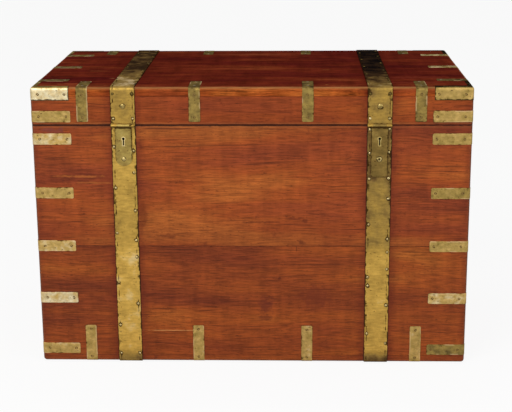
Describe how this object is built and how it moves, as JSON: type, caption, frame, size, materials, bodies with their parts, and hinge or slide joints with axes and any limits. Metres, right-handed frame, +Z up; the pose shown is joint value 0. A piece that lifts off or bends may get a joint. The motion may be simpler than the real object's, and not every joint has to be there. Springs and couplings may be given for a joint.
{
  "type": "campaign chest",
  "caption": "Brass-bound hardwood travelling chest with a hinged lid, strap hinges, two hasp locks and drop side handles.",
  "frame": {"origin": "middle of the footprint, on the underside of the four strap feet", "axes": "+X along the front to the right, +Y from the front to the back, +Z up"},
  "size_m": [0.952, 0.5226, 0.6082],
  "materials": {
    "hardwood_base": "oiled and waxed hardwood, worn",
    "hardwood_lid": "oiled and waxed hardwood, darkened",
    "strap_brass": "sheet brass, tarnished",
    "clip_brass": "sheet brass, dull",
    "nail_brass": "turned brass, rubbed bright",
    "screw_steel": "blackened steel",
    "pin_steel": "drawn steel",
    "hasp_brass": "cast brass, tarnished",
    "staple_brass": "cast brass, rubbed bright",
    "lock_iron": "forged iron",
    "lock_steel": "filed steel",
    "handle_brass": "cast brass, dull"
  },
  "bodies": {
    "base": {"back_board_lower": "hardwood_base", "back_board_upper": "hardwood_base", "base_bottom_clips": "clip_brass", "base_clip_screws": "screw_steel", "base_corner_clips": "clip_brass", "base_strap_nails": "nail_brass", "bottom_plank_back": "hardwood_base", "bottom_plank_front": "hardwood_base", "front_board_lower": "hardwood_base", "front_board_upper": "hardwood_base", "handle_plate_screws": "screw_steel", "left_base_back_strap": "strap_brass", "left_base_front_strap": "strap_brass", "left_end_lower": "hardwood_base", "left_end_upper": "hardwood_base", "left_handle_plate": "handle_brass", "left_hinge_pin": "pin_steel", "left_lock_cap": "lock_iron", "left_lock_case": "lock_iron", "left_lock_spring": "lock_steel", "lock_cap_screws": "screw_steel", "right_base_back_strap": "strap_brass", "right_base_front_strap": "strap_brass", "right_end_lower": "hardwood_base", "right_end_upper": "hardwood_base", "right_handle_plate": "handle_brass", "right_hinge_pin": "pin_steel", "right_lock_cap": "lock_iron", "right_lock_case": "lock_iron", "right_lock_spring": "lock_steel"},
    "lid": {"back_lid_rail": "hardwood_lid", "front_lid_rail": "hardwood_lid", "left_hasp_pin": "pin_steel", "left_lid_front_strap": "strap_brass", "left_lid_rail": "hardwood_lid", "left_lid_top_strap": "strap_brass", "lid_clip_screws": "screw_steel", "lid_corner_caps": "clip_brass", "lid_corner_clips": "clip_brass", "lid_edge_clips": "clip_brass", "lid_plank_back": "hardwood_lid", "lid_plank_front": "hardwood_lid", "lid_strap_nails": "nail_brass", "right_hasp_pin": "pin_steel", "right_lid_front_strap": "strap_brass", "right_lid_rail": "hardwood_lid", "right_lid_top_strap": "strap_brass"},
    "left_hasp": {"left_hasp": "hasp_brass", "left_staple": "staple_brass"},
    "right_hasp": {"right_hasp": "hasp_brass", "right_staple": "staple_brass"},
    "left_bolt": {"left_lock_bolt": "lock_steel"},
    "right_bolt": {"right_lock_bolt": "lock_steel"},
    "left_bail": {"left_handle": "handle_brass"},
    "right_bail": {"right_handle": "handle_brass"}
  },
  "joints": [
    {"name": "lid_hinge", "type": "hinge", "parent": "base", "child": "lid", "pos_m": [0, 0.2583, 0.5256], "axis": [-1, 0, 0], "range_deg": [0, 100]},
    {"name": "left_hasp_hinge", "type": "hinge", "parent": "lid", "child": "left_hasp", "pos_m": [-0.2655, -0.2573, 0.5256], "axis": [-1, 0, 0], "range_deg": [0, 150]},
    {"name": "left_bolt_slide", "type": "slide", "parent": "base", "child": "left_bolt", "axis": [1, 0, 0], "range_m": [0, 0.008]},
    {"name": "left_handle_hinge", "type": "hinge", "parent": "base", "child": "left_bail", "pos_m": [-0.4695, 0, 0.3576], "axis": [0, 1, 0], "range_deg": [0, 100]},
    {"name": "right_hasp_hinge", "type": "hinge", "parent": "lid", "child": "right_hasp", "pos_m": [0.2655, -0.2573, 0.5256], "axis": [-1, 0, 0], "range_deg": [0, 150]},
    {"name": "right_bolt_slide", "type": "slide", "parent": "base", "child": "right_bolt", "axis": [1, 0, 0], "range_m": [0, 0.008]},
    {"name": "right_handle_hinge", "type": "hinge", "parent": "base", "child": "right_bail", "pos_m": [0.4695, 0, 0.3576], "axis": [0, -1, 0], "range_deg": [0, 100]}
  ]
}
